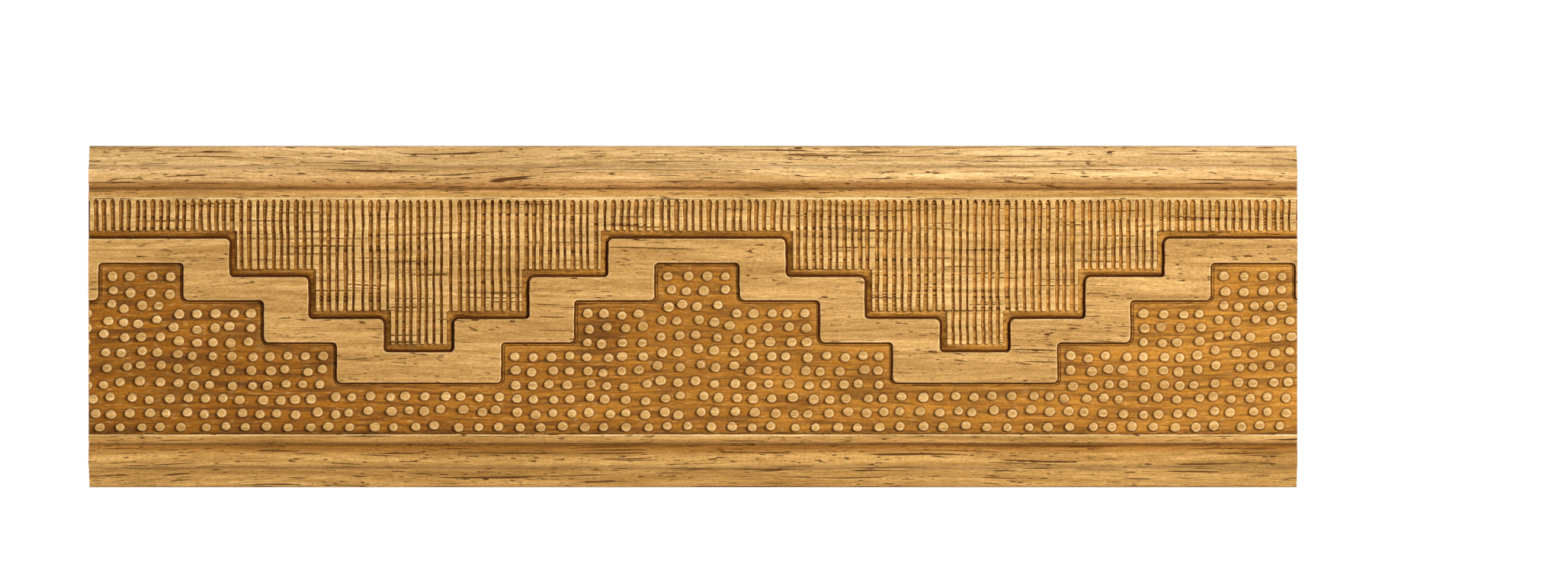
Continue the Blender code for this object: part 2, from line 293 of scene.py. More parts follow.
class MouldingSizes(bpy.types.PropertyGroup):
    """Sizes of the strip and its pattern"""

    length: length("Length", "Length of the strip", CAD_SIZE.x)
    height: length("Width of face", "Width of the face, from edge to edge", CAD_SIZE.z)
    thickness: length("Thickness", "Thickness of the wood", CAD_SIZE.y)
    edge_thickness: length("Edge thickness", "Height of the outer edge", 3.5 * MM)
    shoulder_width: length("Shoulder width", "Width of the rounded shoulder", 0.8 * MM)
    shoulder_rise: length("Shoulder rise", "Height of the rounded shoulder", 1.2 * MM)
    shoulder_bow: length("Shoulder bow", "How far the shoulder bows out", 0.22 * MM)
    cove_width: length("Cove width", "Width of the cove beside the bead", 2.34 * MM)
    cove_sag: length("Cove sag", "How far the cove is hollowed", 0.08 * MM)
    bead_radius: length("Bead radius", "Radius of the bead", 1.58 * MM)
    bead_flank: length("Bead flank", "Way from the bead to the V groove", 0.65 * MM)
    v_depth: length("V depth", "Depth of the V groove", 1.7 * MM)
    chamfer_width: length("Chamfer width", "Width of the chamfer up to the field", 1.5 * MM)
    chamfer_bow: length("Chamfer bow", "How far the chamfer bows out", 0.1 * MM)
    repeat: length("Repeat", "Length of one repeat of the pattern", 89.4 * MM)
    peak_shift: length("Peak shift", "Shift of the middle peak along the strip", 0.65 * MM)
    upper_runs: shares("Upper runs", "Risers of the band's upper edge", (0.129, 0.399, 0.683))
    upper_levels: shares(
        "Upper levels", "Treads of the band's upper edge", (0.348, 0.488, 0.665, 0.827)
    )
    lower_runs: shares("Lower runs", "Risers of the band's lower edge", (0.294, 0.556, 0.845))
    lower_levels: shares(
        "Lower levels", "Treads of the band's lower edge", (0.223, 0.393, 0.571, 0.729)
    )
    upper_channel: length("Upper channel", "Width of the channel above the band", 1.35 * MM)
    lower_channel: length("Lower channel", "Width of the channel below the band", 1.1 * MM)
    gouge_width: length("Gouge width", "Width of each gouge", 0.72 * MM)
    reed_width: length("Reed width", "Width of each reed between two gouges", 0.59 * MM)
    edge_reed_width: length("Edge reed width", "Width of the reed beside a riser", 0.4 * MM)
    field_margin: length("Field margin", "Flat left beside the chamfers", 0.15 * MM)
    peg_diameter: length("Peg diameter", "Diameter at the foot of each peg", 2.0 * MM)
    peg_gap: length("Peg gap", "Gap between pegs in a row", 0.95 * MM)
    peg_row_gap: length("Peg row gap", "Gap between rows of pegs", 0.28 * MM)
    foot_row_gap: length("Foot row gap", "Gap between pegs in the lowest row", 1.4 * MM)


class WoodLook(bpy.types.PropertyGroup):
    """Colours and grain of the wood"""

    top_rim: colour("Top rim", "Planed wood above the field", (0.73, 0.445, 0.175))
    # The lower rim is painted darker than the top rim: painted shade, as the light falls from
    # above
    low_rim: colour("Lower rim", "Planed wood below the field", (0.55, 0.295, 0.080))
    chamfer: colour("Chamfers", "Planed slopes beside the field", (0.67, 0.38, 0.115))
    face: colour("Face", "Pressed flat wood of the band", (0.555, 0.305, 0.092))
    reed: colour("Reeds", "Tops of the reeds and pegs", (0.585, 0.335, 0.102))
    toasted: colour("Toasted", "Pressed floors at the left end", (0.33, 0.116, 0.005))
    half_toasted: colour("Half toasted", "Pressed floors at the right end", (0.50, 0.210, 0.022))
    scorched: colour("Scorched", "Wood at the foot of the pressed walls", (0.08, 0.021, 0.001))
    # Painted highlight: a pale colour laid along the tops of the pressed walls and along the
    # arrises, where light catches them
    lit_edge: colour("Highlit edge", "Wood rubbed light along the edges", (0.90, 0.66, 0.33))
    smoke: colour("Smoke", "Grey-brown streaks of the ground", (0.15, 0.054, 0.008))
    pore: colour("Pores", "Dark pores and checks along the grain", (0.09, 0.028, 0.003))
    end_grain: colour("End grain", "Sawn ends", (0.42, 0.25, 0.10))
    back: colour("Back", "Sanded back", (0.60, 0.36, 0.14))
    relief: length("Relief", "Depth of the grain's relief", 0.04 * MM)
    drift: length("Grain drift", "How far the grain drifts across the strip", 6.0 * MM)


class StageLook(bpy.types.PropertyGroup):
    """Floor and camera of the stage"""

    floor: colour("Floor", "Colour of the plain floor", (0.88, 0.88, 0.87))
    view_distance: length("View distance", "Distance from the camera to the face", 2.4)
    view_width: length("View width", "Width of the view at the face", 0.252)
    view_right: length("View right", "How far the camera stands right of the middle", 0.01464)
    view_up: length("View up", "How far the camera stands above the middle", 0.00404)


def worked_out(group):
    """The sizes as exact numbers, with the distances that follow from them.

    A property holds single precision, so each number is rounded to a tenth of a micrometre.
    """
    s = SimpleNamespace()
    for key in type(group).__annotations__:
        value = getattr(group, key)
        one = isinstance(value, float)
        setattr(s, key, round(value, 7) if one else tuple(round(v, 7) for v in value))
    s.bead_to_edge = s.shoulder_width + s.cove_width + s.bead_radius
    s.v_to_edge = s.bead_to_edge + s.bead_radius + s.bead_flank
    s.field_to_edge = s.v_to_edge + s.chamfer_width
    s.field_height = s.height - 2 * s.field_to_edge
    s.field_top = s.field_height / 2
    s.field_foot = -s.field_top
    s.half_repeat = s.repeat / 2
    s.peg_radius = s.peg_diameter / 2
    s.past_end = s.length / 2 + s.peg_diameter + OVERCUT
    s.peg_clearance = s.lower_channel + PEG_TO_WALL + s.peg_radius
    return s


def bow(start, end, rise):
    """Points of a shallow curve from start to end that stands out by rise on its left side."""
    (x0, y0), (x1, y1) = start, end
    reach = math.dist(start, end)
    points = []
    for i in range(BOW_STEPS + 1):
        t = i / BOW_STEPS
        out = 4 * t * (1 - t) * rise / reach
        points.append((x0 + (x1 - x0) * t - (y1 - y0) * out, y0 + (y1 - y0) * t + (x1 - x0) * out))
    return points


def bead(s, foot_of_v):
    """Points round the bead, from its outer side over its crest to where it runs into the V."""
    x, y = s.bead_to_edge, s.thickness - s.bead_radius
    to_v = (foot_of_v[0] - x, foot_of_v[1] - y)
    end = math.atan2(to_v[1], to_v[0]) + math.acos(s.bead_radius / math.hypot(*to_v))
    angles = [math.pi + (end - math.pi) * i / BEAD_STEPS for i in range(BEAD_STEPS + 1)]
    return [(x + s.bead_radius * math.cos(a), y + s.bead_radius * math.sin(a)) for a in angles]


def rim(s):
    """One rim as (distance from the outer edge, height above the back), up to the flat field."""
    edge = (0.0, s.edge_thickness)
    shoulder = (s.shoulder_width, s.edge_thickness + s.shoulder_rise)
    foot_of_v = (s.v_to_edge, s.thickness - s.v_depth)
    arris = (s.field_to_edge, s.thickness)
    round_bead = bead(s, foot_of_v)
    return (
        bow(edge, shoulder, s.shoulder_bow)
        + bow(shoulder, round_bead[0], -s.cove_sag)[1:-1]
        + round_bead
        + bow(foot_of_v, arris, s.chamfer_bow)
    )


def treads(s, runs, levels, widen=0.0, lift=0.0):
    """Each tread of a stair as (left end, right end, height), from past one end to the other.

    Widen moves every riser away from the middle of its notch, and lift raises every tread.
    """
    repeats = math.ceil(s.length / 2 / s.repeat) + 1
    risers = []
    for k in range(-repeats, repeats + 1):
        notch = s.peak_shift + s.half_repeat + k * s.repeat
        for i in reversed(range(len(runs))):
            risers.append((notch - runs[i] * s.half_repeat - widen, i))
        for i in range(len(runs)):
            risers.append((notch + runs[i] * s.half_repeat + widen, i + 1))
    heights = [s.field_foot + level * s.field_height + lift for level in levels]
    return [(x, following[0], heights[i]) for (x, i), following in zip(risers, risers[1:])]


def stair_line(s, runs, levels):
    """Corner points of a stair, from past the strip's left end to past its right end."""
    line = []
    for left, right, height in treads(s, runs, levels):
        if right > -s.past_end and left < s.past_end:
            line.append((max(left, -s.past_end), height))
            line.append((min(right, s.past_end), height))
    return line


def between(start, end, share):
    """The point that lies a share of the way from start to end."""
    return (start[0] + (end[0] - start[0]) * share, start[1] + (end[1] - start[1]) * share)


def turn_at(before, corner, after):
    """How far a line turns at a corner, in radians: more than 0 to the left, less to the right."""
    along = math.atan2(corner[1] - before[1], corner[0] - before[0])
    onward = math.atan2(after[1] - corner[1], after[0] - corner[0])
    return math.remainder(onward - along, 2 * math.pi)


def rounded(line, left_radius, right_radius, steps):
    """The same line with its square corners rounded, by a left-hand and a right-hand radius."""
    eased = [line[0]]
    for before, corner, after in zip(line, line[1:], line[2:]):
        bend = turn_at(before, corner, after)
        wanted = left_radius if bend > 0 else right_radius
        radius = min(wanted, math.dist(before, corner) / 2, math.dist(corner, after) / 2)
        if radius == 0 or abs(bend) < SHARP_TURN:
            eased.append(corner)
            continue
        start = between(corner, before, radius / math.dist(corner, before))
        end = between(corner, after, radius / math.dist(corner, after))
        centre = (start[0] + end[0] - corner[0], start[1] + end[1] - corner[1])
        first = math.atan2(start[1] - centre[1], start[0] - centre[0])
        last = math.atan2(end[1] - centre[1], end[0] - centre[0])
        turn = math.remainder(last - first, 2 * math.pi)
        for i in range(steps + 1):
            angle = first + turn * i / steps
            eased.append((
                centre[0] + radius * math.cos(angle),
                centre[1] + radius * math.sin(angle),
            ))
    return eased + [line[-1]]


def waver(x, z, reach, wave):
    """A small smooth wandering, the same at the same place on every run."""
    return reach * noise.noise(Vector((x / wave, WAVER_SLICE, z / wave)))


def stationed(line, station):
    """The same line with points added so that none of its stretches is longer than a station."""
    points = [line[0]]
    for start, end in zip(line, line[1:]):
        count = max(1, math.ceil(math.dist(start, end) / station))
        points += [between(start, end, i / count) for i in range(1, count + 1)]
    return points


def band_edge(s, runs, levels, left_radius, right_radius):
    """One edge of the band, with rounded corners and risers that waver a little."""
    line = rounded(stair_line(s, runs, levels), left_radius, right_radius, CORNER_STEPS)
    edge = []
    for x, z in stationed(line, BAND_STATION):
        inside = abs(x) < s.past_end
        aside = waver(x, z, EDGE_WAVER, EDGE_WAVER_LENGTH) if inside else 0.0
        edge.append((x + aside, z + waver(z, x, TREAD_WAVER, EDGE_WAVER_LENGTH)))
    return edge


def slot(x, half_width, left_foot, right_foot, tip):
    """Outline of one gouge, up its left side, round its bulb and tip, and down its right side."""
    left = []
    right = []
    for side, foot, points in ((-1, left_foot, left), (1, right_foot, right)):
        shoulder = tip - TIP_LENGTH
        count = max(2, round((shoulder - foot) / SLOT_STATION))
        stations = [foot + (shoulder - foot) * i / count for i in range(count + 1)]
        stations.append(shoulder - BULB_LENGTH)
        for z in sorted(stations):
            bulb = BULB_SWELL * math.exp(-((z - tip + BULB_BELOW_TIP) / BULB_LENGTH) ** 2)
            drift = waver(x, z, SLOT_DRIFT, SLOT_DRIFT_LENGTH)
            half = half_width * (1 + bulb)
            spot = x + side * half_width * SLOT_SIDES_APART
            aside = waver(spot, z, SLOT_WAVER, SLOT_WAVER_LENGTH)
            points.append((x + side * half + drift + aside, z))
    middle = (left[-1][0] + right[-1][0]) / 2
    shoulder = half_width * TIP_SHOULDER
    arch = [
        (middle - shoulder, tip - TIP_SHOULDER_DROP),
        (middle, tip),
        (middle + shoulder, tip - TIP_SHOULDER_DROP),
    ]
    return left + arch + right[::-1]


def comb(s):
    """Lower outline of the reeds, with a slot up each gouge, from past one end to the other."""
    places = random.Random(SEED)
    scatter = random.Random(SEED + 1)
    inset = s.edge_reed_width + s.gouge_width / 2
    widen = -s.upper_channel
    line = []
    for left, right, height in treads(s, s.upper_runs, s.upper_levels, widen, s.upper_channel):
        room = right - left - 2 * inset
        spaces = max(1, round(room / (s.gouge_width + s.reed_width)))
        middles = []
        for i in range(spaces + 1):
            aside = places.uniform(-REED_WANDER, REED_WANDER) * s.reed_width
            middles.append(left + inset + room * i / spaces + aside)
        if right < -s.past_end or left > s.past_end:
            continue
        end = height
        line.append((max(left, -s.past_end), end))
        gaps = [second - first for first, second in zip(middles, middles[1:])]
        for middle, gap in zip(middles, map(min, [gaps[0]] + gaps, gaps + [gaps[-1]])):
            most = (gap - LEAST_REED) / 2 / (1 + BULB_SWELL)
            wanted = s.gouge_width / 2 * scatter.uniform(SLOT_NARROWEST, SLOT_WIDEST)
            following = height + scatter.uniform(0, REED_END_SCATTER)
            tip = s.field_top - TIP_MARGIN + scatter.uniform(-TIP_SCATTER, TIP_SCATTER)
            if middle is middles[-1]:
                following = height
            if abs(middle) + inset < s.past_end:
                line += slot(middle, min(wanted, most), end, following, tip)
                end = following
        line.append((min(right, s.past_end), height))
    return rounded(line, REED_END_RADIUS, 0.0, REED_END_STEPS)


def foot_line(s):
    """Upper edge of the narrow flat between the ground and the lower chamfer."""
    ends = [(-s.past_end, s.field_foot + FOOT_MARGIN), (s.past_end, s.field_foot + FOOT_MARGIN)]
    return [
        (x, z + waver(x, z, FOOT_WAVER, FOOT_WAVER_LENGTH))
        for x, z in stationed(ends, FOOT_STATION)
    ]


def clear_of_channel(s, stair, x, z):
    """The nearest place to (x, z) where a peg stands clear of the channel above and beside it."""
    for left, right, height in stair:
        ceiling = height - s.peg_clearance
        ways_out = (z - ceiling, x - left + s.peg_clearance, right + s.peg_clearance - x)
        if min(ways_out) > 0:
            nearest = ways_out.index(min(ways_out))
            x = (x, left - s.peg_clearance, right + s.peg_clearance)[nearest]
            z = (ceiling, z, z)[nearest]
    return x, z


def peg_rows(s, stair, foot):
    """Middles of the pegs in rows, each row spread evenly between the walls that bound it."""
    wander = random.Random(SEED)
    row_pitch = s.peg_diameter + s.peg_row_gap
    heights = [z - s.peg_clearance - foot for _, _, z in stair]
    rows = [1 + int(height / row_pitch) if height > 0 else 0 for height in heights]
    pegs = []
    for row in range(max(rows)):
        pitch = s.peg_diameter + (s.peg_gap if row else s.foot_row_gap)
        start = None
        for (left, right, _), count, following in zip(stair, rows, rows[1:] + [0]):
            if count > row and start is None:
                start = left + s.peg_clearance
            if start is not None and following <= row:
                end = right - s.peg_clearance
                spaces = max(1, round((end - start) / pitch))
                for i in range(spaces + 1):
                    x = start + (end - start) * i / spaces
                    here = next(j for j, tread in enumerate(stair) if tread[1] > x)
                    rise = heights[here] / max(1, rows[here] - 1)
                    along = wander.uniform(-PEG_WANDER_ALONG, PEG_WANDER_ALONG)
                    across = wander.uniform(-PEG_WANDER_ACROSS, PEG_WANDER_ACROSS)
                    pegs.append((x + along, foot + rise * row + across))
                start = None
    return [peg for peg in pegs if abs(peg[0]) < s.past_end]


def strayed(s, stair, foot, pegs):
    """The pegs moved a little out of their rows, where walls and neighbours leave room."""
    wander = random.Random(SEED + 3)
    least = s.peg_diameter + PEG_LEAST_GAP
    last = s.length / 2 - s.peg_diameter
    for _ in range(STRAYING_STEPS):
        for i, (x, z) in enumerate(pegs):
            moved = (
                x + wander.uniform(-PEG_STRAY_ALONG, PEG_STRAY_ALONG),
                z + wander.uniform(-PEG_STRAY_ACROSS, PEG_STRAY_ACROSS),
            )
            inside = max(abs(x), abs(moved[0])) < last
            clear = moved[1] > foot and clear_of_channel(s, stair, *moved) == moved
            apart = all(math.dist(moved, other) > least for other in pegs[:i] + pegs[i + 1:])
            if inside and clear and apart:
                pegs[i] = moved
    return pegs


def peg_places(s):
    """Middles of the pegs, after those that stand too close have been eased apart."""
    stair = treads(s, s.lower_runs, s.lower_levels)
    foot = s.field_foot + s.field_margin + PEG_TO_WALL + s.peg_radius
    settled = s.peg_diameter + PEG_SETTLED_GAP
    pegs = peg_rows(s, stair, foot)
    for _ in range(SETTLING_STEPS):
        for i, (x, z) in enumerate(pegs):
            for other in pegs[:i] + pegs[i + 1:]:
                if abs(other[0] - x) < settled and 0 < math.dist((x, z), other) < settled:
                    push = (settled / math.dist((x, z), other) - 1) / 2
                    x += (x - other[0]) * push
                    z += (z - other[1]) * push
            pegs[i] = clear_of_channel(s, stair, x, max(foot, z))
    kept = []
    for x, z in sorted(pegs):
        stands = s.length / 2 - abs(x) + s.peg_radius > PEG_LEAST_WIDTH
        apart = all(math.dist((x, z), other) > s.peg_diameter + PEG_LEAST_GAP for other in kept)
        if stands and apart and clear_of_channel(s, stair, x, z) == (x, z):
            kept.append((x, z))
    return strayed(s, stair, foot, kept)


def verts_of(edges):
    """The points that some edges join, each once."""
    return list({vert for edge in edges for vert in edge.verts})


def mark_layers(shape):
    """Makes the layers that carry each point's place, its way into the hollow and its finish."""
    for name in PLACE_LAYERS:
        shape.verts.layers.float_vector.new(name)
    for name in FINISH_LAYERS + (WORN_LAYER,):
        shape.verts.layers.float.new(name)


def layers(shape, *names):
    """Some of those layers, by name."""
    places = shape.verts.layers.float_vector
    numbers = shape.verts.layers.float
    return [places[name] if name in PLACE_LAYERS else numbers[name] for name in names]


def put(s, shape, verts, ring):
    """Moves points to one ring of a wall: out from their home by its way, down by its depth."""
    way_out, depth, burn, lit_edge = ring
    home, way, worn = layers(shape, *PLACE_LAYERS, WORN_LAYER)
    burn_layer, edge_layer = layers(shape, "burn", "lit_edge")
    for vert in verts:
        vert.co = vert[home] + vert[way] * way_out
        vert.co.y = max(depth, vert[worn]) - s.thickness
        vert[burn_layer] = burn
        vert[edge_layer] = lit_edge


def drawn(shape, line, side):
    """Edges along an outline, whose hollow lies on its left if side is 1 and right if it is -1."""
    home, way = layers(shape, *PLACE_LAYERS)
    points = [Vector((x, 0.0, z)) for x, z in line]
    aside = []
    for start, end in zip(points, points[1:]):
        along = (end - start).normalized()
        aside.append(Vector((-along.z, 0.0, along.x)) * side)
    verts = []
    for i, point in enumerate(points):
        first = aside[max(i - 1, 0)]
        second = aside[min(i, len(aside) - 1)]
        vert = shape.verts.new(point)
        vert[home] = point
        vert[way] = (first + second) / max(LEAST_MITRE, 1 + first.dot(second))
        verts.append(vert)
    return [shape.edges.new(pair) for pair in zip(verts, verts[1:])]


def pulled(shape, edges):
    """New edges, joined to the old ones by faces."""
    grown = bmesh.ops.extrude_edge_only(shape, edges=edges)["geom"]
    return [part for part in grown if isinstance(part, bmesh.types.BMEdge)]


def sunk_walls(s, shape, edges, wall):
    """Walls down from an outline. Returns the edges along their foot."""
    put(s, shape, verts_of(edges), wall[0])
    for ring in wall[1:]:
        edges = pulled(shape, edges)
        put(s, shape, verts_of(edges), ring)
    return edges


def end_vert(edges, sign):
    """The point of an outline that lies furthest left if sign is -1, or right if it is 1."""
    return max(verts_of(edges), key=lambda vert: sign * vert.co.x)


def open_edges(shape, axis, place):
    """The open edges of the shape that lie at one place along an axis."""
    return [
        edge for edge in shape.edges
        if edge.is_boundary and all(abs(vert.co[axis] - place) < NEAR for vert in edge.verts)
    ]


def flat(shape, edges, facing, even):
    """Flat faces inside an outline, evened out where that is asked for."""
    made = bmesh.ops.triangle_fill(
        shape, use_beauty=even, use_dissolve=False, edges=edges, normal=facing
    )["geom"]
    faces = [part for part in made if isinstance(part, bmesh.types.BMFace)]
    if not faces:
        raise RuntimeError("A flat of the strip couldn't be filled")
    for face in faces:
        face.smooth = False


def filled(shape, first, second, holes=()):
    """The flat between two outlines that run from end to end, round any holes."""
    ties = [shape.edges.new((end_vert(first, sign), end_vert(second, sign))) for sign in (-1, 1)]
    flat(shape, [*first, *second, *ties, *holes], (0, -1, 0), True)


def milled(s, shape):
    """The back and both rims. Returns the arris edges above and below the field."""
    profile = [(depth, s.height / 2 - inset) for inset, depth in reversed(rim(s))]
    profile += [(0.0, s.height / 2), (0.0, -s.height / 2)]
    profile += [(depth, -z) for depth, z in reversed(profile[:-2])]
    verts = [shape.verts.new((-s.past_end, -depth, z)) for depth, z in profile]
    edges = [shape.edges.new(pair) for pair in zip(verts, verts[1:])]
    stations = math.ceil(2 * s.past_end / RIM_STATION)
    for _ in range(stations):
        edges = pulled(shape, edges)
        step = (2 * s.past_end / stations, 0, 0)
        bmesh.ops.translate(shape, vec=step, verts=verts_of(edges))
    for edge in shape.edges:
        if edge.calc_face_angle(0.0) > SHARP_ANGLE:
            edge.smooth = False
    return [open_edges(shape, 2, z) for z in (s.field_top, s.field_foot)]


def peg_outlines(s, shape):
    """The uneven round tops of the pegs. Returns their edges."""
    home, way, tone, worn = layers(shape, *PLACE_LAYERS, "tone", WORN_LAYER)
    mood = random.Random(SEED + 2)
    places = peg_places(s)
    floor_foot = s.field_foot + FOOT_MARGIN + FOOT_WAVER + FOOT_WALL[-1][0] + PEG_SPARE
    circles = []
    for x, z in places:
        nearest = min(math.dist((x, z), other) for other in places if other != (x, z))
        reach = min(PEG_OUTER_RADIUS, nearest / 2 - PEG_SPARE, z - floor_foot)
        size = PEG_TOP_RADIUS * mood.uniform(*PEG_SIZES)
        shade = mood.uniform(PEG_LEAST_TONE, 1.0)
        stretch = mood.uniform(0, PEG_STRETCH)
        sunk = PEG_SUNK * mood.random() ** 2
        phase = Vector((mood.uniform(0, PEG_UNEVEN_SPAN), 0, 0))
        circle = bmesh.ops.create_circle(
            shape, cap_ends=False, segments=PEG_SEGMENTS, radius=size,
            matrix=Matrix.Rotation(math.radians(90), 4, "X"),
        )["verts"]
        for vert in circle:
            outward = vert.co.normalized()
            uneven = 1 + PEG_UNEVEN * noise.noise(outward * PEG_UNEVEN_SCALE + phase)
            uneven += stretch * (abs(outward.x) - abs(outward.z))
            vert[home] = Vector((x, 0.0, z)) + outward * size * uneven
            lean = 1 - PEG_LEAN * (1 - outward.x)
            vert[way] = outward * lean * (reach - size * uneven) / PEG_WALL[-1][0]
            vert[tone] = shade
            vert[worn] = sunk
            circles += vert.link_edges
    return list(dict.fromkeys(circles))


def end_caps(s, shape):
    """Saws the strip square at both ends and closes the cuts."""
    for sign in (-1, 1):
        cut = (sign * s.length / 2, 0, 0)
        bmesh.ops.bisect_plane(
            shape, geom=shape.verts[:] + shape.edges[:] + shape.faces[:], dist=WELD,
            plane_co=cut, plane_no=(sign, 0, 0), clear_outer=True,
        )
        sawn = [vert for vert in shape.verts if abs(vert.co.x - cut[0]) < NEAR]
        bmesh.ops.remove_doubles(shape, verts=sawn, dist=LEAST_EDGE)
        flat(shape, open_edges(shape, 0, cut[0]), (sign, 0, 0), False)


def strip_mesh(s):
    """The whole strip as one closed mesh."""
    shape = bmesh.new()
    mark_layers(shape)
    top_rail, foot_rail = milled(s, shape)
    pegs = peg_outlines(s, shape)
    peg_feet = sunk_walls(s, shape, pegs, PEG_WALL)
    reeds = drawn(shape, comb(s), -1)
    reeded, = layers(shape, "reeded")
    for vert in verts_of(reeds):
        vert[reeded] = 1.0
    radii = (BAND_INNER_RADIUS, BAND_OUTER_RADIUS)
    upper = drawn(shape, band_edge(s, s.upper_runs, s.upper_levels, *radii), 1)
    lower = drawn(shape, band_edge(s, s.lower_runs, s.lower_levels, *radii[::-1]), -1)
    foot = drawn(shape, foot_line(s), 1)
    reed_feet = sunk_walls(s, shape, reeds, SLOT_WALL)
    upper_feet = sunk_walls(s, shape, upper, UPPER_BAND_WALL)
    lower_feet = sunk_walls(s, shape, lower, LOWER_BAND_WALL)
    ground_edge = sunk_walls(s, shape, foot, FOOT_WALL)
    for face in shape.faces:
        face.smooth = True
    for face in bmesh.ops.edgeloop_fill(shape, edges=pegs)["faces"]:
        face.smooth = False
    filled(shape, top_rail, reeds)
    filled(shape, reed_feet, upper_feet)
    filled(shape, upper, lower)
    filled(shape, lower_feet, ground_edge, peg_feet)
    filled(shape, foot, foot_rail)
    end_caps(s, shape)
    bmesh.ops.recalc_face_normals(shape, faces=shape.faces)
    for name in PLACE_LAYERS:
        shape.verts.layers.float_vector.remove(shape.verts.layers.float_vector[name])
    shape.verts.layers.float.remove(shape.verts.layers.float[WORN_LAYER])
    return shape


def node(tree, kind, **settings):
    """A new node of that kind, with its settings."""
    made = tree.nodes.new(kind)
    for key, value in settings.items():
        setattr(made, key, value)
    return made


def feed(tree, socket, source):
    """Links a socket to what it reads, or sets it to a plain number or colour."""
    if isinstance(source, bpy.types.NodeSocket):
        tree.links.new(source, socket)
    elif socket.type == "RGBA":
        socket.default_value = (*source, 1.0)
    else:
        socket.default_value = source


def reckon(tree, operation, first, second=0.0):
    """A sum on two numbers, such as MULTIPLY or MAXIMUM."""
    made = node(tree, "ShaderNodeMath", operation=operation)
    feed(tree, made.inputs[0], first)
    feed(tree, made.inputs[1], second)
    return made.outputs[0]


def ramped(tree, value, low, high, to_low=0.0, to_high=1.0):
    """A number brought smoothly from one range to another."""
    made = node(tree, "ShaderNodeMapRange", interpolation_type="SMOOTHSTEP")
    feed(tree, made.inputs["Value"], value)
    feed(tree, made.inputs["From Min"], low)
    feed(tree, made.inputs["From Max"], high)
    feed(tree, made.inputs["To Min"], to_low)
    feed(tree, made.inputs["To Max"], to_high)
    return made.outputs["Result"]


def mixed(tree, share, first, second, blend_type="MIX"):
    """Two colours mixed by a share."""
    made = node(tree, "ShaderNodeMix", data_type="RGBA", blend_type=blend_type)
    feed(tree, made.inputs["Factor"], share)
    feed(tree, made.inputs["A"], first)
    feed(tree, made.inputs["B"], second)
    return made.outputs["Result"]


def gap_to(tree, value, place):
    """How far a number lies from a place, on either side."""
    return reckon(tree, "ABSOLUTE", reckon(tree, "SUBTRACT", value, place))


def laid_out(tree):
    """Sets the nodes out in columns, each one left of every node that reads it."""
    columns = {made.name: 0 for made in tree.nodes}
    for _ in tree.nodes:
        for link in tree.links:
            reader = columns[link.to_node.name]
            columns[link.from_node.name] = max(columns[link.from_node.name], reader + 1)
    rows = {}
    for made in tree.nodes:
        column = columns[made.name]
        row = rows.get(column, 0)
        made.location = (-column * COLUMN_WIDTH, -row * ROW_HEIGHT)
        rows[column] = row + 1


def streak_group():
    """Streaks along the grain: a noise drawn out along X, and a mask of its darkest streaks."""
    tree = bpy.data.node_groups.new("grain_streaks", "ShaderNodeTree")
    add = tree.interface.new_socket
    add("Place", in_out="INPUT", socket_type="NodeSocketVector")
    for name in STREAK_SETTINGS:
        add(name, in_out="INPUT", socket_type="NodeSocketFloat")
    for name in ("Streaks", "Mask"):
        add(name, in_out="OUTPUT", socket_type="NodeSocketFloat")
    arrive = node(tree, "NodeGroupInput")
    split = node(tree, "ShaderNodeSeparateXYZ")
    feed(tree, split.inputs[0], arrive.outputs["Place"])
    joined = node(tree, "ShaderNodeCombineXYZ")
    for axis, reach in (("X", "Streak Length"), ("Y", "Streak Width"), ("Z", "Streak Width")):
        drawn_out = reckon(tree, "DIVIDE", split.outputs[axis], arrive.outputs[reach])
        feed(tree, joined.inputs[axis], drawn_out)
    grain = node(tree, "ShaderNodeTexNoise")
    grain.inputs["Scale"].default_value = 1.0
    grain.inputs["Roughness"].default_value = STREAK_ROUGHNESS
    feed(tree, grain.inputs["Vector"], joined.outputs[0])
    feed(tree, grain.inputs["Detail"], arrive.outputs["Detail"])
    streak = grain.outputs["Fac"]
    mask = ramped(tree, streak, arrive.outputs["Mask From"], arrive.outputs["Mask To"])
    leave = node(tree, "NodeGroupOutput")
    feed(tree, leave.inputs["Streaks"], streak)
    feed(tree, leave.inputs["Mask"], mask)
    laid_out(tree)
    return tree


def streaks(tree, group, place, settings):
    """One use of the grain streaks at a place, with its own settings."""
    made = node(tree, "ShaderNodeGroup", node_tree=group)
    feed(tree, made.inputs["Place"], place)
    for name, value in zip(STREAK_SETTINGS, settings):
        made.inputs[name].default_value = value
    return made


def grained(tree, look):
    """Every kind of streak in the wood, by name: the noise itself, or the mask of its streaks."""
    group = streak_group()
    place = node(tree, "ShaderNodeTexCoord").outputs["Object"]
    aside = streaks(tree, group, place, DRIFT_STREAKS).outputs["Streaks"]
    aside = reckon(tree, "MULTIPLY", reckon(tree, "SUBTRACT", aside, 0.5), look.drift)
    shift = node(tree, "ShaderNodeCombineXYZ")
    feed(tree, shift.inputs["Z"], aside)
    moved = node(tree, "ShaderNodeVectorMath", operation="ADD")
    feed(tree, moved.inputs[0], place)
    feed(tree, moved.inputs[1], shift.outputs[0])
    made = {"nicks": streaks(tree, group, place, NICK_STREAKS).outputs["Mask"]}
    for name, settings in NOISES.items():
        made[name] = streaks(tree, group, moved.outputs[0], settings).outputs["Streaks"]
    for name, settings in MASKS.items():
        made[name] = streaks(tree, group, moved.outputs[0], settings).outputs["Mask"]
    return SimpleNamespace(**made)


